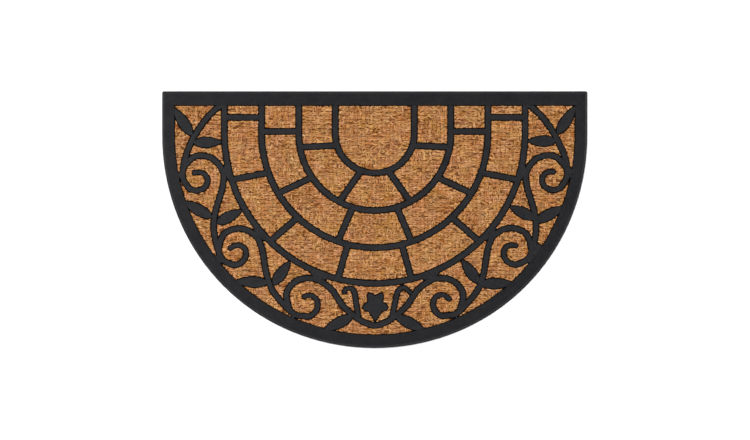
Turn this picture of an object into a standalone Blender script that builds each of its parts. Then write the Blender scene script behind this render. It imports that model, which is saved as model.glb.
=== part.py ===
"""Half-round doormat: a woven coir sheet in a rubber moulding, whose grille is brick arches in a vine border.

The straight edge lies along +Y and the round edge along -Y. The underside is at Z = 0.
"""

import math
from collections import namedtuple

import bmesh
import bpy

# Sizes are in millimetres and angles in degrees. Meshes are in metres.
MM = 0.001

# Outline: a half circle with short straight sides, a little fuller than a circle
MAT_WIDTH = 748.0
STRAIGHT_SIDE = 76.0
CORNER_RADIUS = 3.0
SHOULDER_FULLNESS = 1.6
ROUND_FULLNESS = 1.8
OUTER_RADIUS = MAT_WIDTH / 2
MAT_DEPTH = OUTER_RADIUS + STRAIGHT_SIDE + ROUND_FULLNESS
STRAIGHT_EDGE_Y = MAT_DEPTH / 2
CENTRE_Y = STRAIGHT_EDGE_Y - STRAIGHT_SIDE

# Heights above the floor
BACKING_TOP = 2.0
RIM_EDGE_TOP = 5.0
RIM_TOP = 9.0
RIB_BOTTOM = 4.9
RIB_SHOULDER = 6.8
RIB_TOP = 8.5
COIR_TOP = 7.0

# Widths seen from above
RIM_WIDTH = 22.0
STRAIGHT_RIM_WIDTH = 25.2
RIM_BEVEL = 4.2
RIM_INNER_DRAFT = 1.2
ARCH_WIDTH = 12.3
STEM_WIDTH = 12.0
CURL_WIDTH = 10.0
RIB_DRAFT = 1.9
GAP = 0.3

# Grille: four arches round one centre, a brick course between each two. `depth` is how far each hangs below it.
Arch = namedtuple("Arch", "radius depth")
ARCHES = (
    Arch(radius=69.4, depth=67.8),
    Arch(radius=133.6, depth=133.9),
    Arch(radius=198.9, depth=199.2),
    Arch(radius=264.3, depth=262.0),
)
ROOT_IN_RIM = RIM_WIDTH / 2

# A round bar joins arch `inner` to the next one out. Turns count from the left-hand end of the half circle.
RoundBar = namedtuple("RoundBar", "inner inner_turn outer_turn")
ROUND_BARS = (
    RoundBar(inner=0, inner_turn=16.7, outer_turn=9.6),
    RoundBar(inner=0, inner_turn=70.0, outer_turn=62.1),
    RoundBar(inner=1, inner_turn=34.3, outer_turn=31.3),
    RoundBar(inner=1, inner_turn=73.1, outer_turn=71.0),
    RoundBar(inner=2, inner_turn=19.7, outer_turn=17.7),
    RoundBar(inner=2, inner_turn=47.1, outer_turn=45.9),
    RoundBar(inner=2, inner_turn=76.2, outer_turn=75.8),
)

# A level bar joins two arches in their straight part, `rise` above the centre.
LevelBar = namedtuple("LevelBar", "inner rise")
LEVEL_BARS = (
    LevelBar(inner=1, rise=5.3),
    LevelBar(inner=2, rise=29.9),
)

# Vine border, between the last arch (share 0) and the rim (share 1)
BORDER_INNER = ARCHES[-1].radius
BORDER_OUTER = OUTER_RADIUS - RIM_WIDTH

# One vine: it leaves the vine before it, dips to the arch, climbs past the leaves and rolls up under the rim.
# Turns count from the vine's valley.
Knot = namedtuple("Knot", "turn share")
VINE_DIP = (
    Knot(turn=-3.6, share=0.892),
    Knot(turn=-4.5, share=0.86),
    Knot(turn=-6.9, share=0.655),
    Knot(turn=-7.0, share=0.437),
    Knot(turn=-4.8, share=0.225),
    Knot(turn=0.2, share=0.115),
)
VINE_CLIMB = (
    Knot(turn=5.3, share=0.222),
    Knot(turn=9.3, share=0.411),
    Knot(turn=13.0, share=0.599),
    Knot(turn=16.7, share=0.745),
    Knot(turn=20.5, share=0.83),
    Knot(turn=25.2, share=0.933),
)

# The first vine on each side starts at the straight rim and climbs more evenly.
FIRST_VINE = (
    Knot(turn=1.5, share=0.072),
    Knot(turn=4.8, share=0.247),
    Knot(turn=8.9, share=0.42),
    Knot(turn=13.1, share=0.577),
    Knot(turn=16.9, share=0.71),
    Knot(turn=20.5, share=0.82),
    Knot(turn=25.5, share=0.93),
)

# Rubber fills the sharp corners on both sides of a valley, down to the arch.
WEB = (
    Knot(turn=-3.2, share=0.05),
    Knot(turn=-2.2, share=0.09),
    Knot(turn=0.3, share=0.11),
    Knot(turn=2.8, share=0.09),
    Knot(turn=4.0, share=0.05),
    Knot(turn=4.0, share=0.0),
    Knot(turn=-3.2, share=0.0),
)

# It also fills the corner between the end of a vine's climb and the rim.
RIM_WEB_END = Knot(turn=26.0, share=0.885)
IN_RIM_SHARE = 1.05

ARCH_OVER_FLOWER = (
    Knot(turn=6.5, share=0.213),
    Knot(turn=11.3, share=0.475),
    Knot(turn=15.5, share=0.646),
    Knot(turn=18.7, share=0.76),
)
ARCH_CROWN_SHARE = 0.815

# The roll at a vine's end is a spiral about its own centre. Its roll counts from under the rim.
CURL_SHARE = 0.662
CURL_START = 20.0
CURL_ALONG = 17.5
CURL_ACROSS = 19.9
CURL_SHRINK_PER_DEGREE = 0.0005
CURL_STEP = 30.0
KNOB_EXTRA = 0.4
KNOB_SIDES = 12

# One row for each vine: its valley, how much sooner its climb ends, where its web at the rim starts, its curl's
# centre and last roll, and how much further round its outer and inner leaf stand
Vine = namedtuple("Vine", "number side valley sooner web curl last_roll outer inner")
VINES = (
    Vine(1, "left", valley=-13.2, sooner=0.0, web=24.0, curl=14.7, last_roll=274.0, outer=-0.2, inner=0.3),
    Vine(2, "left", valley=14.1, sooner=0.3, web=23.0, curl=40.9, last_roll=271.0, outer=-0.8, inner=-0.2),
    Vine(3, "left", valley=40.6, sooner=0.0, web=24.5, curl=68.7, last_roll=227.0, outer=-0.1, inner=-0.1),
    Vine(1, "right", valley=-13.4, sooner=0.3, web=23.0, curl=14.5, last_roll=263.0, outer=-0.5, inner=0.1),
    Vine(2, "right", valley=14.0, sooner=0.7, web=19.5, curl=40.8, last_roll=245.0, outer=0.9, inner=-1.7),
    Vine(3, "right", valley=40.4, sooner=0.0, web=25.0, curl=68.3, last_roll=251.0, outer=0.8, inner=-0.9),
)
SOONER_KNOTS = 2
SOONER_SHARE = 0.015

# The arch in the middle starts like one more vine on each side.
MIDDLE_NUMBER = 4
MIDDLE_VALLEY = 68.0
MIDDLE_LEAF_LEFT = 1.4
MIDDLE_LEAF_RIGHT = 1.7

# Leaves, from their root on the vine to their tip, as knots of the vine. They are fullest nearer to their root.
Leaf = namedtuple("Leaf", "root tip width")
OUTER_LEAF = Leaf(root=Knot(turn=14.3, share=0.622), tip=Knot(turn=5.2, share=1.1), width=21.6)
INNER_LEAF = Leaf(root=Knot(turn=15.4, share=0.66), tip=Knot(turn=15.8, share=0.0), width=21.5)
LEAF_SKEW = 0.8
LEAF_STEPS = 7

# Flower inside the middle arch, and the hook on each side of it. `drop` is the distance below the arches' centre.
FLOWER_X = 1.0
FLOWER_Y = CENTRE_Y - 301.3
FLOWER_STALK = 4.0
HOOK_WIDTH = 11.0
HOOK_END_WIDTH = 8.4
HOOK_TAPER_POINT = 2
HOOK_KNOB_RADIUS = 5.2
HookPoint = namedtuple("HookPoint", "x drop")
LEFT_HOOK = (
    HookPoint(x=-29.0, drop=321.0),
    HookPoint(x=-32.6, drop=299.0),
    HookPoint(x=-34.8, drop=280.6),
    HookPoint(x=-38.8, drop=272.7),
    HookPoint(x=-44.5, drop=270.2),
    HookPoint(x=-50.8, drop=271.9),
    HookPoint(x=-53.3, drop=276.4),
)
RIGHT_HOOK = (
    HookPoint(x=30.5, drop=321.3),
    HookPoint(x=35.2, drop=298.2),
    HookPoint(x=38.2, drop=282.6),
    HookPoint(x=43.5, drop=272.2),
    HookPoint(x=52.5, drop=269.3),
    HookPoint(x=62.3, drop=277.5),
)

# Half of the flower's edge, from the lobe that points at the round edge up to the notch on the other side
Petal = namedtuple("Petal", "turn radius")
PETALS = (
    Petal(turn=5.0, radius=26.2),
    Petal(turn=36.0, radius=17.4),
    Petal(turn=49.0, radius=16.2),
    Petal(turn=67.0, radius=22.2),
    Petal(turn=82.0, radius=24.1),
    Petal(turn=95.0, radius=21.9),
    Petal(turn=119.0, radius=16.3),
    Petal(turn=140.0, radius=24.5),
    Petal(turn=152.0, radius=26.6),
    Petal(turn=162.0, radius=24.3),
    Petal(turn=180.0, radius=19.2),
)

# Smoothness of curves
CHORD_ERROR = 0.25
MOST_TURN = 13.0
LONGEST_STEP = 16.0
FINE_STEPS = 24
RIM_STEPS = 72
CORNER_STEPS = 3

RUBBER_COLOUR = (0.024, 0.025, 0.028, 1.0)
RUBBER_ROUGHNESS = 0.62
COIR_COLOUR = (0.40, 0.20, 0.075, 1.0)
COIR_ROUGHNESS = 0.95


def clear_scene():
    for obj in list(bpy.data.objects):
        bpy.data.objects.remove(obj, do_unlink=True)


def material(name, colour, roughness):
    made = bpy.data.materials.new(name)
    made.use_nodes = True
    shader = made.node_tree.nodes["Principled BSDF"]
    shader.inputs["Base Color"].default_value = colour
    shader.inputs["Roughness"].default_value = roughness
    shader.inputs["Metallic"].default_value = 0.0
    made.diffuse_color = colour
    return made


def collection(name):
    made = bpy.data.collections.new(name)
    made.hide_render = True
    bpy.context.scene.collection.children.link(made)
    return made


def polar(turn, radius):
    """A point on a circle about the arches' centre, `turn` degrees down from its left-hand end."""
    angle = math.radians(turn)
    return (-radius * math.cos(angle), CENTRE_Y - radius * math.sin(angle))


def on_arch(arch, turn):
    """A point on the middle line of an arch, `turn` degrees down from its left-hand end."""
    angle = math.radians(turn)
    return (-arch.radius * math.cos(angle), CENTRE_Y - arch.depth * math.sin(angle))


def mirrored(points):
    return [(-x, y) for x, y in points]


def border_point(valley, knot):
    radius = BORDER_INNER + knot.share * (BORDER_OUTER - BORDER_INNER)
    return polar(valley + knot.turn, radius)


def outline(inset):
    """The mat's outline, this far in from its edge, anticlockwise from the right-hand corner."""
    radius = OUTER_RADIUS - inset
    edge_y = STRAIGHT_EDGE_Y - inset * STRAIGHT_RIM_WIDTH / RIM_WIDTH
    corner = max(CORNER_RADIUS - inset, 0.0)
    points = []
    for side, start in ((1, 0.0), (-1, 90.0)):
        for step in range(CORNER_STEPS + 1):
            angle = math.radians(start + 90.0 * step / CORNER_STEPS)
            x = side * (radius - corner) + corner * math.cos(angle)
            y = edge_y - corner + corner * math.sin(angle)
            points.append((x, y))
    for step in range(RIM_STEPS + 1):
        turn = 180.0 * step / RIM_STEPS
        shoulder = SHOULDER_FULLNESS * math.sin(math.radians(2 * turn)) ** 2
        fuller = ROUND_FULLNESS * math.sin(math.radians(turn)) * max(1 - inset / RIM_WIDTH, 0.0)
        points.append(polar(turn, radius + shoulder + fuller))
    return points


def unit(vector):
    length = math.hypot(*vector)
    return (vector[0] / length, vector[1] / length)


def side_vectors(path):
    """For each point of an open path, the vector to its left that keeps a band of constant width."""
    ahead = [unit((b[0] - a[0], b[1] - a[1])) for a, b in zip(path, path[1:])]
    before = [ahead[0]] + ahead
    after = ahead + [ahead[-1]]
    sides = []
    for first, second in zip(before, after):
        along = unit((first[0] + second[0], first[1] + second[1]))
        stretch = along[0] * first[0] + along[1] * first[1]
        sides.append((-along[1] / stretch, along[0] / stretch))
    return sides


def lengthened(path, extra):
    """The path with both ends moved outwards."""
    start = unit((path[0][0] - path[1][0], path[0][1] - path[1][1]))
    end = unit((path[-1][0] - path[-2][0], path[-1][1] - path[-2][1]))
    first = (path[0][0] + start[0] * extra, path[0][1] + start[1] * extra)
    last = (path[-1][0] + end[0] * extra, path[-1][1] + end[1] * extra)
    return [first] + path[1:-1] + [last]


def grown(points, distance):
    """An anticlockwise closed outline, moved outwards by a distance, or inwards where it is negative."""
    moved = []
    for index, point in enumerate(points):
        before = points[index - 1]
        after = points[(index + 1) % len(points)]
        first = unit((point[0] - before[0], point[1] - before[1]))
        second = unit((after[0] - point[0], after[1] - point[1]))
        along = unit((first[0] + second[0], first[1] + second[1]))
        stretch = along[0] * first[0] + along[1] * first[1]
        moved.append((point[0] + along[1] * distance / stretch, point[1] - along[0] * distance / stretch))
    return moved


def smooth(knots):
    """Many points on one smooth curve through the knots."""
    ends = [knots[0]] + list(knots) + [knots[-1]]
    points = []
    for p0, p1, p2, p3 in zip(ends, ends[1:], ends[2:], ends[3:]):
        for step in range(FINE_STEPS):
            t = step / FINE_STEPS
            weights = (
                -0.5 * t + t ** 2 - 0.5 * t ** 3,
                1 - 2.5 * t ** 2 + 1.5 * t ** 3,
                0.5 * t + 2 * t ** 2 - 1.5 * t ** 3,
                -0.5 * t ** 2 + 0.5 * t ** 3,
            )
            x = sum(w * p[0] for w, p in zip(weights, (p0, p1, p2, p3)))
            y = sum(w * p[1] for w, p in zip(weights, (p0, p1, p2, p3)))
            points.append((x, y))
    points.append(tuple(knots[-1]))
    return points


def thinned(points):
    """Only the points that a curve needs, closer together where it bends."""
    kept = [points[0]]
    turned = 0.0
    for before, point, after in zip(points, points[1:], points[2:]):
        first = math.atan2(point[1] - before[1], point[0] - before[0])
        second = math.atan2(after[1] - point[1], after[0] - point[0])
        turned += abs(math.degrees(math.remainder(second - first, 2 * math.pi)))
        if turned > MOST_TURN or math.dist(kept[-1], after) > LONGEST_STEP:
            kept.append(point)
            turned = 0.0
    return kept + [points[-1]]


def add_object(name, mesh_builder, finish, where):
    mesh = bpy.data.meshes.new(name)
    bmesh.ops.recalc_face_normals(mesh_builder, faces=mesh_builder.faces)
    mesh_builder.to_mesh(mesh)
    mesh_builder.free()
    mesh.materials.append(finish)
    made = bpy.data.objects.new(name, mesh)
    where.objects.link(made)
    return made


def add_helper(name, mesh_builder, finish, where):
    made = add_object(name, mesh_builder, finish, where)
    made.hide_render = True
    made.display_type = "WIRE"
    return made


def stacked(rings):
    """A closed body from rings of (points, height), lowest first, each with as many points."""
    builder = bmesh.new()
    loops = []
    for points, height in rings:
        loops.append([builder.verts.new((x * MM, y * MM, height * MM)) for x, y in points])
    count = len(loops[0])
    for lower, upper in zip(loops, loops[1:]):
        for i in range(count):
            j = (i + 1) % count
            builder.faces.new((lower[i], lower[j], upper[j], upper[i]))
    builder.faces.new(list(reversed(loops[0])))
    builder.faces.new(loops[-1])
    bmesh.ops.remove_doubles(builder, verts=builder.verts, dist=0.01 * MM)
    return builder


def band(path, widths, section):
    """A closed body that follows a path. The section is rows of (change of half width, height), lowest first."""
    builder = bmesh.new()
    loops = []
    for point, side, width in zip(path, side_vectors(path), widths):
        left = [(width / 2 + change, height) for change, height in section]
        right = [(-reach, height) for reach, height in reversed(left)]
        loop = []
        for reach, height in left + right:
            x = point[0] + side[0] * reach
            y = point[1] + side[1] * reach
            loop.append(builder.verts.new((x * MM, y * MM, height * MM)))
        loops.append(loop)
    count = len(loops[0])
    for first, second in zip(loops, loops[1:]):
        for i in range(count):
            j = (i + 1) % count
            builder.faces.new((first[i], first[j], second[j], second[i]))
    builder.faces.new(list(reversed(loops[0])))
    builder.faces.new(loops[-1])
    return builder


RIB_SECTION = ((0.0, RIB_BOTTOM), (0.0, RIB_SHOULDER), (-RIB_DRAFT, RIB_TOP))
GROOVE_SECTION = ((GAP, RIB_BOTTOM - GAP), (GAP, RIM_TOP + GAP))


class Grille:
    """Makes each rib of the grille twice: in rubber, and a little larger as the groove for it in the coir."""

    def __init__(self, rubber):
        self.rubber = rubber
        self.ribs = collection("ribs")
        self.grooves = collection("grooves")

    def add_band(self, name, path, widths):
        add_helper(f"rib_{name}", band(path, widths, RIB_SECTION), self.rubber, self.ribs)
        longer = lengthened(path, GAP)
        add_helper(f"groove_{name}", band(longer, widths, GROOVE_SECTION), self.rubber, self.grooves)

    def add_line(self, name, path, width):
        self.add_band(name, path, [width] * len(path))

    def add_plate(self, name, points):
        rings = [(grown(points, change), height) for change, height in RIB_SECTION]
        add_helper(f"rib_{name}", stacked(rings), self.rubber, self.ribs)
        rings = [(grown(points, change), height) for change, height in GROOVE_SECTION]
        add_helper(f"groove_{name}", stacked(rings), self.rubber, self.grooves)


def arch_path(arch):
    top = (-arch.radius, STRAIGHT_EDGE_Y - ROOT_IN_RIM)
    steps = math.ceil(math.pi / (2 * math.acos(1 - CHORD_ERROR / arch.radius)))
    curve = [on_arch(arch, 180.0 * step / steps) for step in range(steps + 1)]
    return [top] + curve + mirrored([top])


def add_arches(grille):
    for number, arch in enumerate(ARCHES, start=1):
        grille.add_line(f"arch_{number}", arch_path(arch), ARCH_WIDTH)


def add_bars(grille):
    for number, bar in enumerate(ROUND_BARS, start=1):
        inner = on_arch(ARCHES[bar.inner], bar.inner_turn)
        outer = on_arch(ARCHES[bar.inner + 1], bar.outer_turn)
        grille.add_line(f"round_bar_{number}_left", [inner, outer], ARCH_WIDTH)
        grille.add_line(f"round_bar_{number}_right", mirrored([inner, outer]), ARCH_WIDTH)
    for number, bar in enumerate(LEVEL_BARS, start=1):
        ends = [(-arch.radius, CENTRE_Y + bar.rise) for arch in ARCHES[bar.inner:bar.inner + 2]]
        grille.add_line(f"level_bar_{number}_left", ends, ARCH_WIDTH)
        grille.add_line(f"level_bar_{number}_right", mirrored(ends), ARCH_WIDTH)


def curl_knots(turn, last_roll):
    """The spiral at the end of a vine, as points from under the rim inwards."""
    centre = border_point(0.0, Knot(turn, CURL_SHARE))
    angle = math.radians(turn)
    along = (math.sin(angle), -math.cos(angle))
    outward = (-math.cos(angle), -math.sin(angle))
    steps = math.ceil((last_roll - CURL_START) / CURL_STEP)
    knots = []
    for step in range(steps + 1):
        roll = CURL_START + (last_roll - CURL_START) * step / steps
        shrink = 1 - CURL_SHRINK_PER_DEGREE * roll
        u = CURL_ALONG * shrink * math.sin(math.radians(roll))
        w = CURL_ACROSS * shrink * math.cos(math.radians(roll))
        knots.append((centre[0] + along[0] * u + outward[0] * w, centre[1] + along[1] * u + outward[1] * w))
    return knots


def tapered(path, taper_start, first_width, last_width):
    """A width for each point of a path, which narrows from the point nearest to where the taper starts."""
    lengths = [0.0]
    for first, second in zip(path, path[1:]):
        lengths.append(lengths[-1] + math.dist(first, second))
    nearest = min(range(len(path)), key=lambda i: math.dist(path[i], taper_start))
    start = lengths[nearest]
    widths = []
    for length in lengths:
        share = max(0.0, length - start) / (lengths[-1] - start)
        widths.append(first_width + (last_width - first_width) * share)
    return widths


def leaf_outline(valley, leaf):
    """A pointed leaf: two curves that meet at its root and its tip."""
    root = border_point(valley, leaf.root)
    tip = border_point(valley, leaf.tip)
    length = math.dist(root, tip)
    along = unit((tip[0] - root[0], tip[1] - root[1]))
    points = []
    for side, order in ((-1, range(LEAF_STEPS)), (1, range(LEAF_STEPS, 0, -1))):
        for step in order:
            share = step / LEAF_STEPS
            fullness = share ** LEAF_SKEW
            reach = side * 2 * leaf.width * fullness * (1 - fullness)
            x = root[0] + along[0] * length * share - along[1] * reach
            y = root[1] + along[1] * length * share + along[0] * reach
            points.append((x, y))
    return points


def on_side(points, side):
    """Points drawn for the left half, or their mirror image for the right half."""
    return points if side == "left" else mirrored(points)


def add_side_plate(grille, name, side, points):
    """A plate from an outline that is anticlockwise on the left half."""
    placed = on_side(points, side)
    if side == "right":
        placed = list(reversed(placed))
    grille.add_plate(f"{name}_{side}", placed)


def add_web(grille, number, side, valley):
    add_side_plate(grille, f"web_{number}", side, [border_point(valley, knot) for knot in WEB])


def add_rim_web(grille, vine):
    end = RIM_WEB_END
    knots = (
        Knot(vine.web, IN_RIM_SHARE),
        Knot(end.turn, IN_RIM_SHARE),
        end,
        Knot(vine.web, end.share),
    )
    points = [border_point(vine.valley, knot) for knot in knots]
    add_side_plate(grille, f"rim_web_{vine.number}", vine.side, points)


def ended_sooner(knots, sooner):
    """The knots of a climb, with its last ones moved back and towards the rim."""
    last = [Knot(knot.turn - sooner, knot.share + sooner * SOONER_SHARE) for knot in knots[-SOONER_KNOTS:]]
    return knots[:-SOONER_KNOTS] + tuple(last)


def add_vine(grille, vine):
    knots = FIRST_VINE if vine.number == 1 else VINE_DIP + VINE_CLIMB
    stem = [border_point(vine.valley, knot) for knot in ended_sooner(knots, vine.sooner)]
    curl = curl_knots(vine.curl, vine.last_roll)
    path = thinned(smooth(stem + curl))
    widths = tapered(path, curl[0], STEM_WIDTH, CURL_WIDTH)
    placed = on_side(path, vine.side)
    grille.add_band(f"vine_{vine.number}_{vine.side}", placed, widths)
    add_knob(grille, f"curl_end_{vine.number}_{vine.side}", placed[-1], CURL_WIDTH / 2 + KNOB_EXTRA)
    add_rim_web(grille, vine)
    if vine.number > 1:
        add_web(grille, vine.number, vine.side, vine.valley)
    outer = leaf_outline(vine.valley + vine.outer, OUTER_LEAF)
    inner = leaf_outline(vine.valley + vine.inner, INNER_LEAF)
    add_side_plate(grille, f"outer_leaf_{vine.number}", vine.side, outer)
    add_side_plate(grille, f"inner_leaf_{vine.number}", vine.side, inner)


def add_knob(grille, name, centre, radius):
    """A round end."""
    points = []
    for step in range(KNOB_SIDES):
        angle = 2 * math.pi * step / KNOB_SIDES
        points.append((centre[0] + radius * math.cos(angle), centre[1] + radius * math.sin(angle)))
    grille.add_plate(name, points)


def add_hook(grille, name, hook):
    path = thinned(smooth([(point.x, CENTRE_Y - point.drop) for point in hook]))
    taper = hook[HOOK_TAPER_POINT]
    widths = tapered(path, (taper.x, CENTRE_Y - taper.drop), HOOK_WIDTH, HOOK_END_WIDTH)
    grille.add_band(name, path, widths)
    add_knob(grille, f"{name}_end", path[-1], HOOK_KNOB_RADIUS)


def add_middle(grille):
    """The arch where the two sides' vines meet, with its last leaves, and the flower and hooks inside it."""
    knots = [border_point(MIDDLE_VALLEY, knot) for knot in VINE_DIP + ARCH_OVER_FLOWER]
    crown = border_point(0.0, Knot(90.0, ARCH_CROWN_SHARE))
    whole = knots + [crown] + list(reversed(mirrored(knots)))
    grille.add_line("middle_arch", thinned(smooth(whole)), STEM_WIDTH)
    for side, further in (("left", MIDDLE_LEAF_LEFT), ("right", MIDDLE_LEAF_RIGHT)):
        add_web(grille, MIDDLE_NUMBER, side, MIDDLE_VALLEY)
        leaf = leaf_outline(MIDDLE_VALLEY + further, OUTER_LEAF)
        add_side_plate(grille, f"outer_leaf_{MIDDLE_NUMBER}", side, leaf)
    add_hook(grille, "hook_left", LEFT_HOOK)
    add_hook(grille, "hook_right", RIGHT_HOOK)
    grille.add_plate("flower", flower_outline())
    grille.add_line("flower_stalk", [(FLOWER_X, FLOWER_Y), crown], FLOWER_STALK)


def flower_outline():
    """A star with five rounded lobes, anticlockwise."""
    half = []
    for petal in PETALS:
        angle = math.radians(petal.turn)
        half.append((petal.radius * math.sin(angle), FLOWER_Y - petal.radius * math.cos(angle)))
    whole = half + list(reversed(mirrored(half[:-1])))
    return [(x + FLOWER_X, y) for x, y in whole]


def add_rubber(finish, ribs):
    """Backing and rim in one tray, with the grille joined across it."""
    wall = RIM_WIDTH + RIM_INNER_DRAFT / 2
    rings = [
        (outline(0.0), 0.0),
        (outline(0.0), RIM_EDGE_TOP),
        (outline(RIM_BEVEL), RIM_TOP),
        (outline(wall - RIM_INNER_DRAFT), RIM_TOP),
        (outline(wall), COIR_TOP),
        (outline(wall), BACKING_TOP),
    ]
    made = add_object("rubber_moulding", stacked(rings), finish, bpy.context.scene.collection)
    join = made.modifiers.new("grille", "BOOLEAN")
    join.operation = "UNION"
    join.operand_type = "COLLECTION"
    join.collection = ribs
    join.solver = "EXACT"
    return made


def add_coir(finish, grooves):
    """The coir sheet, which fills the tray and stands up between the ribs."""
    edge = outline(RIM_WIDTH + RIM_INNER_DRAFT / 2 + GAP)
    rings = [(edge, BACKING_TOP + GAP), (edge, COIR_TOP)]
    made = add_object("coir_sheet", stacked(rings), finish, bpy.context.scene.collection)
    cut = made.modifiers.new("grooves", "BOOLEAN")
    cut.operation = "DIFFERENCE"
    cut.operand_type = "COLLECTION"
    cut.collection = grooves
    cut.solver = "EXACT"
    return made


def main():
    clear_scene()
    rubber = material("black_rubber", RUBBER_COLOUR, RUBBER_ROUGHNESS)
    coir = material("woven_coir", COIR_COLOUR, COIR_ROUGHNESS)
    grille = Grille(rubber)
    add_arches(grille)
    add_bars(grille)
    for vine in VINES:
        add_vine(grille, vine)
    add_middle(grille)
    add_rubber(rubber, grille.ribs)
    add_coir(coir, grille.grooves)


main()
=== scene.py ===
"""Half-round coir doormat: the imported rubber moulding, with the coir sheet woven from yarn and loose fibre.

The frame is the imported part's: X along the straight edge, Y towards it, Z up from the floor, in metres.
Sizes in this script are millimetres, unless a comment says otherwise.
"""

import math
from dataclasses import dataclass

import bpy
import numpy as np
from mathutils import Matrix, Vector
from mathutils.bvhtree import BVHTree


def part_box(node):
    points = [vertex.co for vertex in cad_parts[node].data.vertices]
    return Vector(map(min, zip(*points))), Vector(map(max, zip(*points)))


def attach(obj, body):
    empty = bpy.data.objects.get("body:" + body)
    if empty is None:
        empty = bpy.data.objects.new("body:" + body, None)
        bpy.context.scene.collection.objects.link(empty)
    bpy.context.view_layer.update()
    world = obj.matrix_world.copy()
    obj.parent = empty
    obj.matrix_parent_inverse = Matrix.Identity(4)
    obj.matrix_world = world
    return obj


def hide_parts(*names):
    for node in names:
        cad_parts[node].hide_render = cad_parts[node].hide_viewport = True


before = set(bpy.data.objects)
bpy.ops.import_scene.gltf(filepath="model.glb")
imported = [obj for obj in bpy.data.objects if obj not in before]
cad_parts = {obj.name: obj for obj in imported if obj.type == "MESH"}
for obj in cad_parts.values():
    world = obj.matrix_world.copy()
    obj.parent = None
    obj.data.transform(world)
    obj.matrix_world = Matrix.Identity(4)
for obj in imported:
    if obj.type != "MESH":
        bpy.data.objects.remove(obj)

MM = 0.001

# Photo: its width in pixels and its scale. The camera is above the mat, and its height counts from the coir.
PICTURE_WIDTH = 750
MM_PER_PIXEL = 1.7579
CAMERA_X = 0.4
CAMERA_Y = -0.5
CAMERA_HEIGHT = 3200.0
SENSOR_WIDTH = 36.0

# Studio, in metres and watts: each lamp's name, place, side and power, and how far the floor and view reach
LAMPS = (
    ("overhead_softbox", (-0.95, -0.5, 3.4), 0.7, 16.0),
    ("left_softbox", (-2.2, 0.8, 1.9), 1.6, 56.0),
    ("right_softbox", (2.2, 0.9, 1.9), 1.6, 41.0),
    ("front_softbox", (0.2, -2.4, 2.1), 1.8, 39.5),
)
FLOOR_REACH = 8.0
VIEW_REACH = 100.0
FLOOR_COLOUR = (0.93, 0.93, 0.93)
FLOOR_ROUGHNESS = 0.9
SKY_COLOUR = (1.0, 1.0, 1.0, 1.0)
SKY_STRENGTH = 0.63

# Ground: the CAD slab, 2.3 to 7 mm high. What lies above GROUND_TOP_FROM is lowered to GROUND_TOP.
COIR_TOP = 7.0
GROUND_TOP = 5.7
GROUND_TOP_FROM = 6.0

# Grid of where the coir shows: its step, and how many steps the yarn may reach under the edges of the ribs.
# A ray from RAY_FROM metres finds the coir where it hits less than TOP_REACH under the coir's top.
CELL_STEP = 0.6
CELLS_UNDER_RIBS = 2
RAY_FROM = 1.0
TOP_REACH = 0.1

# Weave: squares of two short yarns side by side. Most lie along X, and the rest cross them. A yarn reaches
# past its square and dips at its ends. A few are missing, and so are those that the ribs leave too short.
SQUARE = 7.0
YARNS_IN_SQUARE = 2
YARN_PITCH = 3.0
YARN_OVERLAP = 1.2
YARN_HALF_WIDTH = 1.78
YARN_HALF_HEIGHT = 1.0
YARN_CENTRE_HEIGHT = 6.0
YARN_DIP = 0.9
YARN_END_TAPER = 0.35
YARN_SIDES = 6
YARN_STEPS = 4
YARN_SAMPLES = 25
SHORTEST_YARN = 2.2
MISSING_SHARE = 0.05
YARN_SEED = 21

# How much the yarns differ, as standard deviations. The slant and the spreads of width and height are shares.
YARN_SHIFT = 0.35
YARN_LENGTH_SPREAD = 0.5
YARN_SLANT = 0.2
YARN_SWAY = 0.7
YARN_LIFT = 0.28
LOWEST_LIFT = -0.6
HIGHEST_LIFT = 0.5
YARN_WIDTH_SPREAD = 0.12
YARN_HEIGHT_SPREAD = 0.1

# Groups of crossing squares: a wave over the columns and one over the rows. Each is its turn from square to
# square, how far it sways, and the sway's own turn, in radians. Scatter blurs the groups.
COLUMN_WAVE = (0.61, 1.3, 0.37)
ROW_WAVE = (0.53, 0.9, 0.29)
CROSSING_LEVEL = 0.2
SCATTER = 0.6
SCATTER_SQUARES = 400
SCATTER_SEED = 5

# Slow waves that bend the rows of yarn: the length of each and how far it shifts them, and a seed for X and Y
WANDER_WAVES = ((160.0, 1.5), (70.0, 0.8), (31.0, 0.5))
WANDER_SEEDS = (11, 12)

# Fibre: a low arc with thin ends. ALONG and ARC give the place and the rise of each step on it.
FIBRE_SIDES = 3
FIBRE_STEPS = 4
FIBRE_ALONG = np.linspace(-0.5, 0.5, FIBRE_STEPS)
FIBRE_ARC = 1 - (2 * FIBRE_ALONG) ** 2
FIBRE_SINK = 0.5
FIBRE_END_THICKNESS = 0.5
FIBRE_FLATNESS = 0.8
TRIES_FOR_EACH = 4

# How much the fibres differ: standard deviations of the turn in radians, of the bend as a share of the length
# and of the lift, and then the least and greatest rise and share of the usual thickness
FIBRE_TURN = 0.4
FIBRE_BEND = 0.12
FIBRE_LIFT = 0.15
FIBRE_RISES = (0.3, 0.8)
FIBRE_THICKNESSES = (0.7, 1.3)

# Rubber: its darkest and lightest colour, and how light the ribs, the rim and the slanted sides are.
# The slanted sides get painted shade, darkened where the ribs and the rim meet the coir.
# The places of the rim and the sides in that list follow.
DARK_RUBBER = (0.0002, 0.0005, 0.0024)
LIGHT_RUBBER = (0.0076, 0.0076, 0.0088)
RUBBER_SHADES = (("rib_rubber", 1.0), ("rim_rubber", 0.8), ("side_rubber_painted_shade", 0.25))
RIM = 1
PAINTED_SHADE_SIDE = 2
RUBBER_ROUGHNESS = 0.4
RUBBER_SPECULAR = 0.22

# A face wholly above RIM_LEVEL is the rim's. Another one wholly above SIDE_LEVEL is a side if it slants, with
# less than LEVEL_NORMAL as the Z of its normal, and takes the painted shade.
RIM_LEVEL = 8.9
SIDE_LEVEL = 6.0
LEVEL_NORMAL = 0.95

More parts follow.
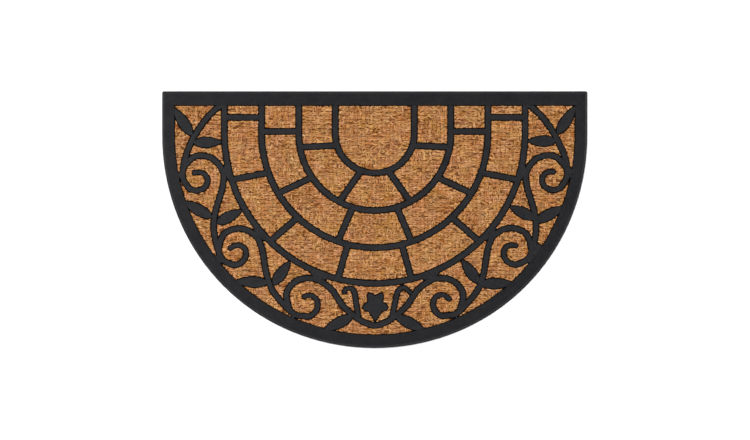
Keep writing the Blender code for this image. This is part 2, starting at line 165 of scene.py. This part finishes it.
# Rubber's patches, marks and grain, in cycles a metre. RUBBER_DARKER is taken off their sum, which then gives
# the two colours at DARK_AT and LIGHT_AT. The grain stands out by its strength and depth.
RUBBER_PATCHES = 55.0
RUBBER_MARKS = 230.0
RUBBER_GRAIN = 1500.0
GRAIN_WEIGHT = 0.6
RUBBER_DARKER = 0.8
DARK_AT = 0.2
LIGHT_AT = 0.8
GRAIN_STRENGTH = 0.9
GRAIN_DEPTH = 0.35

# Coir: its browns from dark to light, and the dark one of the ground, which is painted shade for the depth of
# the weave
YARN_COLOURS = (
    (0.00, (0.115, 0.034, 0.006)),
    (0.18, (0.270, 0.101, 0.025)),
    (0.50, (0.405, 0.187, 0.065)),
    (0.80, (0.500, 0.252, 0.103)),
    (1.00, (0.600, 0.345, 0.165)),
)
MIDDLE_BROWN = YARN_COLOURS[2][1]
GROUND_PAINTED_SHADE = (0.11, 0.038, 0.009)
YARN_ROUGHNESS = 0.85
GROUND_ROUGHNESS = 0.95
COIR_SPECULAR = 0.1

# Streaks in the yarn, in cycles a metre along it and across it, and how many times finer the smaller ones are
STREAKS_ALONG = 110.0
STREAKS_ACROSS = 330.0
FINER = 3.0

# Single fibres in the yarn, in the same measure, how far the twist turns them in radians, and their relief
FIBRES_ALONG = 70.0
FIBRES_ACROSS = 2000.0
TWIST = 0.3
FIBRE_STRENGTH = 0.7
FIBRE_DEPTH = 0.4

# How much a yarn's own shade, patches, streaks, fine streaks and single fibres change the brown.
# COIR_DARKER is taken off their sum, and COIR_PATCHES is in cycles a metre.
ISLAND_WEIGHT = 0.5
PATCH_WEIGHT = 0.22
STREAK_WEIGHT = 0.78
FINE_WEIGHT = 0.3
SINGLE_WEIGHT = 0.35
COIR_DARKER = 0.57
COIR_PATCHES = 45.0

# Slow drift of the brown: what drifts, its usual value, how far it goes, and its cycles a metre.
# Noise is seldom outside NOISE_LOW and NOISE_HIGH.
DRIFTS = (("Hue", 0.5, 0.007, 60.0), ("Saturation", 1.0, 0.04, 75.0))
NOISE_LOW = 0.3
NOISE_HIGH = 0.7


@dataclass
class Fibres:
    """One kind of loose fibre, with its least and greatest length and how high it lies."""

    material_name: str
    piece_name: str
    shade: float
    count: int
    half_width: float
    lengths: tuple
    height: float
    seed: int


# Thick strands stand out of the yarn, and thin ones lie loose on it
STRANDS = Fibres("coir_strand", "coir_strands", 0.08, 4000, 0.45, (4.0, 8.0), 7.0, 31)
THIN_FIBRES = Fibres("coir_fibre", "coir_fibres", 0.2, 4500, 0.2, (5.0, 12.0), 7.3, 32)


def write_size():
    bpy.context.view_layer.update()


class Look:
    """A material, with methods that add its nodes."""

    def __init__(self, name, colour, roughness, specular):
        self.material = bpy.data.materials.new(name)
        self.material.use_nodes = True
        self.material.diffuse_color = (*colour, 1.0)
        self.nodes = self.material.node_tree.nodes
        self.links = self.material.node_tree.links
        self.main = self.nodes["Principled BSDF"]
        self.main.inputs["Base Color"].default_value = (*colour, 1.0)
        self.main.inputs["Roughness"].default_value = roughness
        self.main.inputs["Specular IOR Level"].default_value = specular

    def noise(self, scales, detail, turn=0.0):
        """Noise in the object's own coordinates.

        Its scales along X, Y and Z are in cycles a metre, and `turn` is its turn about Z.
        """
        place = self.nodes.new("ShaderNodeTexCoord")
        fit = self.nodes.new("ShaderNodeMapping")
        fit.vector_type = "TEXTURE"
        fit.inputs["Rotation"].default_value = (0.0, 0.0, turn)
        fit.inputs["Scale"].default_value = [1 / scale for scale in scales]
        self.links.new(place.outputs["Object"], fit.inputs["Vector"])
        made = self.nodes.new("ShaderNodeTexNoise")
        made.inputs["Scale"].default_value = 1.0
        made.inputs["Detail"].default_value = detail
        self.links.new(fit.outputs["Vector"], made.inputs["Vector"])
        return made.outputs["Fac"]

    def patches(self, scale, detail):
        """Noise with the same scale all round."""
        return self.noise((scale, scale, scale), detail)

    def weighted_sum(self, start, parts):
        """`start` and each of the outputs times its weight, added up."""
        total = None
        for output, weight in parts:
            step = self.nodes.new("ShaderNodeMath")
            step.operation = "MULTIPLY_ADD"
            step.inputs[1].default_value = weight
            self.links.new(output, step.inputs[0])
            if total:
                self.links.new(total, step.inputs[2])
            else:
                step.inputs[2].default_value = start
            total = step.outputs["Value"]
        return total

    def ramp(self, value, stops):
        """The colour that belongs to a value, between stops of a value and its colour."""
        made = self.nodes.new("ShaderNodeValToRGB")
        elements = made.color_ramp.elements
        while len(elements) < len(stops):
            elements.new(0.5)
        for element, (position, colour) in zip(elements, stops):
            element.position = position
            element.color = (*colour, 1.0)
        self.links.new(value, made.inputs["Fac"])
        return made.outputs["Color"]

    def drifting(self, colour):
        """The colour, with the slow drift of its hue and its saturation."""
        tint = self.nodes.new("ShaderNodeHueSaturation")
        for channel, usual, reach, scale in DRIFTS:
            spread = self.nodes.new("ShaderNodeMapRange")
            spread.inputs["From Min"].default_value = NOISE_LOW
            spread.inputs["From Max"].default_value = NOISE_HIGH
            spread.inputs["To Min"].default_value = usual - reach
            spread.inputs["To Max"].default_value = usual + reach
            self.links.new(self.patches(scale, detail=1.0), spread.inputs["Value"])
            self.links.new(spread.outputs["Result"], tint.inputs[channel])
        self.links.new(colour, tint.inputs["Color"])
        return tint.outputs["Color"]

    def paint(self, colour):
        """Give the surface this colour."""
        self.links.new(colour, self.main.inputs["Base Color"])

    def bumps(self, height, strength, depth):
        """Push the surface in and out by a height between 0 and 1, in shade alone."""
        bump = self.nodes.new("ShaderNodeBump")
        bump.inputs["Strength"].default_value = strength
        bump.inputs["Distance"].default_value = depth * MM
        self.links.new(height, bump.inputs["Height"])
        self.links.new(bump.outputs["Normal"], self.main.inputs["Normal"])


def rubber_material(name, shade):
    """Black rubber in faint patches. `shade` makes all of it lighter or darker."""
    dark = [value * shade for value in DARK_RUBBER]
    light = [value * shade for value in LIGHT_RUBBER]
    look = Look(name, light, RUBBER_ROUGHNESS, RUBBER_SPECULAR * shade)
    patches = look.patches(RUBBER_PATCHES, detail=2.0)
    marks = look.patches(RUBBER_MARKS, detail=2.0)
    grain = look.patches(RUBBER_GRAIN, detail=3.0)
    total = look.weighted_sum(-RUBBER_DARKER, ((patches, 1.0), (marks, 1.0), (grain, GRAIN_WEIGHT)))
    look.paint(look.ramp(total, ((DARK_AT, dark), (LIGHT_AT, light))))
    look.bumps(grain, GRAIN_STRENGTH, GRAIN_DEPTH)
    return look.material


def finish_rubber(node):
    """Ribs and rim each get their own shade of rubber; the slanted sides by the coir get painted shade."""
    mesh = node.data
    mesh.materials.clear()
    for name, shade in RUBBER_SHADES:
        mesh.materials.append(rubber_material(name, shade))
    for face in mesh.polygons:
        lowest = min(mesh.vertices[index].co.z for index in face.vertices) / MM
        if lowest > RIM_LEVEL:
            face.material_index = RIM
        # A slanted side takes the darkest copy: painted shade where the rubber meets the coir.
        elif lowest > SIDE_LEVEL and face.normal.z < LEVEL_NORMAL:
            face.material_index = PAINTED_SHADE_SIDE


def coir_material(name, shade, streak_scales, fibre_scales):
    """Brown that differs from one yarn or fibre to the next, with streaks and single fibres along it.

    `shade` makes all of it lighter or darker. The scales are in cycles a metre along X and along Y.
    """
    look = Look(name, MIDDLE_BROWN, YARN_ROUGHNESS, COIR_SPECULAR)
    island = look.nodes.new("ShaderNodeNewGeometry").outputs["Random Per Island"]
    patches = look.patches(COIR_PATCHES, detail=2.0)
    streaks = look.noise((*streak_scales, STREAKS_ACROSS), detail=0.0)
    fine = look.noise([scale * FINER for scale in (*streak_scales, STREAKS_ACROSS)], detail=1.0)
    single = look.noise((*fibre_scales, FIBRES_ACROSS), detail=0.0, turn=TWIST)
    parts = (
        (island, ISLAND_WEIGHT),
        (patches, PATCH_WEIGHT),
        (streaks, STREAK_WEIGHT),
        (fine, FINE_WEIGHT),
        (single, SINGLE_WEIGHT),
    )
    brown = look.ramp(look.weighted_sum(shade - COIR_DARKER, parts), YARN_COLOURS)
    look.paint(look.drifting(brown))
    look.bumps(single, FIBRE_STRENGTH, FIBRE_DEPTH)
    return look.material


def add_coir_piece(name, mesh):
    """Show a mesh that moves with the part's one body."""
    made = bpy.data.objects.new(name, mesh)
    bpy.context.scene.collection.objects.link(made)
    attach(made, "root")
    return made


def add_mesh(name, points, faces, material):
    """A smooth mesh from points and faces, as a piece of the coir."""
    mesh = bpy.data.meshes.new(name)
    mesh.from_pydata(points, [], faces)
    mesh.materials.append(material)
    mesh.polygons.foreach_set("use_smooth", [True] * len(mesh.polygons))
    mesh.update()
    return add_coir_piece(name, mesh)


def add_ground(node):
    """The slab under the yarn: the CAD solid with its top lowered, painted dark as the shade deep in the
    weave.
    """
    mesh = node.data.copy()
    mesh.name = "coir_ground"
    mesh.materials.clear()
    mesh.materials.append(Look("coir_ground", GROUND_PAINTED_SHADE, GROUND_ROUGHNESS, COIR_SPECULAR).material)
    for vertex in mesh.vertices:
        if vertex.co.z > GROUND_TOP_FROM * MM:
            vertex.co.z = GROUND_TOP * MM
    made = add_coir_piece("coir_ground", mesh)
    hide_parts("coir_sheet")
    return made


class Cells:
    """Where the coir shows between the ribs, as two grids of yes and no.

    `bare` is yes where the coir's top shows. `wide` is yes a little further too, under the edges of the ribs.
    """

    def __init__(self, node):
        low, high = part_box(node.name)
        margin = CELL_STEP * (CELLS_UNDER_RIBS + 1)
        self.low = np.array(low[:2]) / MM - margin
        self.high = np.array(high[:2]) / MM + margin
        self.bare = self.seen_from_above(node.data)
        self.wide = self.bare
        for _ in range(CELLS_UNDER_RIBS):
            grid = self.wide
            self.wide = grid.copy()
            for axis in (0, 1):
                self.wide |= np.roll(grid, 1, axis) | np.roll(grid, -1, axis)

    def seen_from_above(self, mesh):
        """The grid of where a ray from above hits the coir's top, and not a groove or nothing."""
        tree = BVHTree.FromPolygons([v.co for v in mesh.vertices], [p.vertices[:] for p in mesh.polygons])
        down = Vector((0, 0, -1))
        grid = np.zeros(np.ceil((self.high - self.low) / CELL_STEP).astype(int), bool)
        for i in range(grid.shape[0]):
            x = (self.low[0] + (i + 0.5) * CELL_STEP) * MM
            for j in range(grid.shape[1]):
                y = (self.low[1] + (j + 0.5) * CELL_STEP) * MM
                hit = tree.ray_cast(Vector((x, y, RAY_FROM)), down)[0]
                grid[i, j] = hit is not None and hit.z > (COIR_TOP - TOP_REACH) * MM
        return grid

    def inside(self, grid, x, y):
        """Whether the grid says yes at each of the places. Places outside it are no."""
        i = np.floor((x - self.low[0]) / CELL_STEP).astype(int)
        j = np.floor((y - self.low[1]) / CELL_STEP).astype(int)
        known = (i >= 0) & (j >= 0) & (i < grid.shape[0]) & (j < grid.shape[1])
        found = np.zeros(np.shape(x), bool)
        found[known] = grid[i[known], j[known]]
        return found


def tubes(lines, half_widths, half_heights, sides):
    """Closed tubes along lines, as points and faces.

    The lines are (count, steps, 3), and the half widths and half heights (count, steps).
    """
    count, steps, _ = lines.shape
    along = np.gradient(lines, axis=1)
    along[..., 2] = 0.0
    along /= np.linalg.norm(along, axis=2, keepdims=True)
    side = np.stack([-along[..., 1], along[..., 0], np.zeros_like(along[..., 0])], axis=2)
    turns = 2 * math.pi * (np.arange(sides) + 0.5) / sides
    ring = lines[:, :, None, :] + side[:, :, None, :] * (half_widths[:, :, None] * np.cos(turns))[..., None]
    ring[..., 2] += half_heights[:, :, None] * np.sin(turns)
    points = ring.reshape(-1, 3) * MM
    first = (np.arange(count) * steps * sides)[:, None, None]
    step = np.arange(steps - 1)[None, :, None] * sides
    around = np.arange(sides)
    a = first + step + around
    b = first + step + (around + 1) % sides
    quads = np.stack([a, a + sides, b + sides, b], axis=3).reshape(-1, 4)
    starts = first[:, 0] + around
    ends = first[:, 0] + (steps - 1) * sides + around[::-1]
    return points, quads.tolist() + starts.tolist() + ends.tolist()


def longest_run(shows):
    """First and last place of the longest unbroken run of True in each row, and its length."""
    best = np.zeros(len(shows), int)
    end = np.zeros(len(shows), int)
    run = np.zeros(len(shows), int)
    for place in range(shows.shape[1]):
        run = np.where(shows[:, place], run + 1, 0)
        better = run > best
        best = np.where(better, run, best)
        end = np.where(better, place, end)
    return end - best + 1, end, best


def between(rows, places):
    """Each row's values at its places, which may lie between two of its samples."""
    row = np.arange(len(rows))[:, None]
    whole = np.floor(places).astype(int)
    part = places - whole
    after = np.minimum(whole + 1, rows.shape[1] - 1)
    return rows[row, whole] * (1 - part) + rows[row, after] * part


def wander(x, y):
    """How far the slow waves shift each place along X and along Y, so that no row is straight."""
    shifts = []
    for seed in WANDER_SEEDS:
        picks = np.random.default_rng(seed)
        shift = np.zeros(np.shape(x))
        for length, reach in WANDER_WAVES:
            turn, phase = picks.uniform(0, 2 * math.pi, 2)
            shift += reach * np.sin((x * math.cos(turn) + y * math.sin(turn)) * 2 * math.pi / length + phase)
        shifts.append(shift)
    return shifts


def swaying_wave(along, across, wave):
    """A wave over the squares one way, whose phase sways with the squares the other way."""
    turn, reach, sway = wave
    return np.sin(along * turn + reach * np.sin(across * sway))


def crosses(column, row):
    """Whether the yarns in a square of the weave lie along Y: some of every other square, in loose groups."""
    group = swaying_wave(column, row, COLUMN_WAVE) * swaying_wave(row, column, ROW_WAVE)
    picks = np.random.default_rng(SCATTER_SEED)
    scatter = picks.uniform(-SCATTER, SCATTER, (SCATTER_SQUARES, SCATTER_SQUARES))
    chance = group + scatter[column.astype(int) % SCATTER_SQUARES, row.astype(int) % SCATTER_SQUARES]
    return ((column + row) % 2 == 1) & (chance > CROSSING_LEVEL)


def yarn_places(cells, level, picks):
    """Column and row of its square, and number in it, of each yarn that lies along X, or along Y."""
    columns = math.ceil((cells.high[0] - cells.low[0]) / SQUARE) + 2
    rows = math.ceil((cells.high[1] - cells.low[1]) / SQUARE) + 2
    ranges = (np.arange(-1, columns), np.arange(-1, rows), np.arange(YARNS_IN_SQUARE))
    column, row, number = np.meshgrid(*ranges, indexing="ij")
    wanted = (crosses(column, row) != level) & (picks.random(column.shape) > MISSING_SHARE)
    return column[wanted], row[wanted], number[wanted]


def yarn_samples(cells, level, picks):
    """X and Y of samples along each whole yarn, and its half length, before the ribs cut it short."""
    column, row, number = yarn_places(cells, level, picks)
    count = len(column)
    across = (number - (YARNS_IN_SQUARE - 1) / 2) * YARN_PITCH + picks.normal(0, YARN_SHIFT, count)
    half = SQUARE / 2 + YARN_OVERLAP + picks.normal(0, YARN_LENGTH_SPREAD, count)
    slant = picks.normal(0, YARN_SLANT, count)
    sway = picks.normal(0, YARN_SWAY, count)
    share = np.linspace(-1, 1, YARN_SAMPLES)
    u = half[:, None] * share
    w = across[:, None] + slant[:, None] * u + sway[:, None] * np.sin(math.pi * share)
    x = (cells.low[0] + (column + 0.5) * SQUARE)[:, None] + (u if level else w)
    y = (cells.low[1] + (row + 0.5) * SQUARE)[:, None] + (w if level else u)
    shift_x, shift_y = wander(x, y)
    return x + shift_x, y + shift_y, half


def yarn_lines(cells, level, picks):
    """The lines of the yarns that lie along X, or along Y, each where its square of the weave shows."""
    x, y, half = yarn_samples(cells, level, picks)
    first, last, run = longest_run(cells.inside(cells.wide, x, y))
    kept = run * 2 * half / YARN_SAMPLES > SHORTEST_YARN
    share = np.linspace(0, 1, YARN_STEPS)
    places = first[kept, None] + (last - first)[kept, None] * share
    line_x = between(x[kept], places)
    line_y = between(y[kept], places)
    lift = picks.normal(0, YARN_LIFT, (len(places), 1)).clip(LOWEST_LIFT, HIGHEST_LIFT)
    crown = 1 - (2 * share - 1) ** 4
    line_z = YARN_CENTRE_HEIGHT - YARN_DIP + YARN_DIP * crown + lift
    return np.stack([line_x, line_y, line_z], axis=2)


def add_yarns(cells):
    """The yarns along X on the mat's left and right, and the yarns along Y, as three pieces."""
    picks = np.random.default_rng(YARN_SEED)
    level = yarn_lines(cells, True, picks)
    upright = yarn_lines(cells, False, picks)
    on_left = level[:, 0, 0] < 0
    streaks = (STREAKS_ALONG, STREAKS_ACROSS)
    fibres = (FIBRES_ALONG, FIBRES_ACROSS)
    along_x = coir_material("coir_yarn_along_x", 0.0, streaks, fibres)
    along_y = coir_material("coir_yarn_along_y", 0.0, streaks[::-1], fibres[::-1])
    taper = 1 - YARN_END_TAPER * np.abs(2 * np.linspace(0, 1, YARN_STEPS) - 1) ** 3
    pieces = []
    for name, lines, material in (
        ("coir_yarns_left", level[on_left], along_x),
        ("coir_yarns_right", level[~on_left], along_x),
        ("coir_yarns_crossing", upright, along_y),
    ):
        count = len(lines)
        widths = YARN_HALF_WIDTH * picks.normal(1.0, YARN_WIDTH_SPREAD, (count, 1)) * taper
        heights = YARN_HALF_HEIGHT * picks.normal(1.0, YARN_HEIGHT_SPREAD, (count, 1)) * taper
        points, faces = tubes(lines, widths, heights, YARN_SIDES)
        pieces.append(add_mesh(name, points, faces, material))
    return pieces


def fibre_lines(cells, kind, picks):
    """The lines of short bent fibres, mostly along the yarn under them, where they stay on bare coir."""
    tries = kind.count * TRIES_FOR_EACH
    x = picks.uniform(cells.low[0], cells.high[0], tries)
    y = picks.uniform(cells.low[1], cells.high[1], tries)
    shift_x, shift_y = wander(x, y)
    column = np.floor((x - shift_x - cells.low[0]) / SQUARE)
    row = np.floor((y - shift_y - cells.low[1]) / SQUARE)
    turn = np.where(crosses(column, row), math.pi / 2, 0.0) + picks.normal(0, FIBRE_TURN, tries)
    length = picks.uniform(*kind.lengths, tries)
    bend = picks.normal(0, FIBRE_BEND, tries)
    u = length[:, None] * FIBRE_ALONG
    w = bend[:, None] * length[:, None] * FIBRE_ARC
    line_x = x[:, None] + u * np.cos(turn)[:, None] - w * np.sin(turn)[:, None]
    line_y = y[:, None] + u * np.sin(turn)[:, None] + w * np.cos(turn)[:, None]
    kept = np.flatnonzero(cells.inside(cells.bare, line_x, line_y).all(axis=1))[:kind.count]
    lift = picks.normal(0, FIBRE_LIFT, (len(kept), 1))
    line_z = kind.height - FIBRE_SINK + lift + FIBRE_ARC * picks.uniform(*FIBRE_RISES, (len(kept), 1))
    return np.stack([line_x[kept], line_y[kept], line_z], axis=2)


def add_fibres(cells, kind):
    """One kind of loose fibre, as one piece. Its streaks are as long across it as along it."""
    picks = np.random.default_rng(kind.seed)
    lines = fibre_lines(cells, kind, picks)
    thickness = kind.half_width * picks.uniform(*FIBRE_THICKNESSES, (len(lines), 1)) * np.ones(FIBRE_STEPS)
    thickness[:, [0, -1]] *= FIBRE_END_THICKNESS
    points, faces = tubes(lines, thickness, thickness * FIBRE_FLATNESS, FIBRE_SIDES)
    streaks = (STREAKS_ALONG, STREAKS_ALONG)
    material = coir_material(kind.material_name, kind.shade, streaks, (FIBRES_ACROSS, FIBRES_ALONG))
    return add_mesh(kind.piece_name, points, faces, material)


def add_floor():
    """A plain pale floor, as staging."""
    corners = [(x * FLOOR_REACH, y * FLOOR_REACH, 0.0) for x, y in ((-1, -1), (1, -1), (1, 1), (-1, 1))]
    mesh = bpy.data.meshes.new("floor")
    mesh.from_pydata(corners, [], [(0, 1, 2, 3)])
    mesh.materials.append(Look("white_floor", FLOOR_COLOUR, FLOOR_ROUGHNESS, 0.0).material)
    floor = bpy.data.objects.new("floor", mesh)
    bpy.context.scene.collection.objects.link(floor)


def add_lights():
    """Soft lamps that point at the mat's middle, and an even white sky."""
    for name, place, side, power in LAMPS:
        light = bpy.data.lights.new(name, "AREA")
        light.size = side
        light.energy = power
        made = bpy.data.objects.new(name, light)
        made.location = place
        made.rotation_euler = (-Vector(place)).to_track_quat("-Z", "Y").to_euler()
        bpy.context.scene.collection.objects.link(made)
    world = bpy.data.worlds.new("studio")
    world.use_nodes = True
    background = world.node_tree.nodes["Background"]
    background.inputs["Color"].default_value = SKY_COLOUR
    background.inputs["Strength"].default_value = SKY_STRENGTH
    bpy.context.scene.world = world


def add_camera():
    """The camera looks straight down on the mat, at the photo's scale on the coir's top."""
    camera = bpy.data.cameras.new("camera")
    camera.sensor_width = SENSOR_WIDTH
    camera.lens = SENSOR_WIDTH * CAMERA_HEIGHT / (PICTURE_WIDTH * MM_PER_PIXEL)
    camera.clip_end = VIEW_REACH
    made = bpy.data.objects.new("camera", camera)
    made.location = (CAMERA_X * MM, CAMERA_Y * MM, (CAMERA_HEIGHT + COIR_TOP) * MM)
    bpy.context.scene.collection.objects.link(made)
    bpy.context.scene.camera = made


write_size()
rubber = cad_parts["rubber_moulding"]
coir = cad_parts["coir_sheet"]
finish_rubber(rubber)
cells = Cells(coir)
ground = add_ground(coir)
on_ground = add_yarns(cells)
on_ground.append(add_fibres(cells, STRANDS))
on_ground.append(add_fibres(cells, THIN_FIBRES))
add_floor()
add_lights()
add_camera()
bpy.context.scene.view_settings.view_transform = "Standard"
write_size()
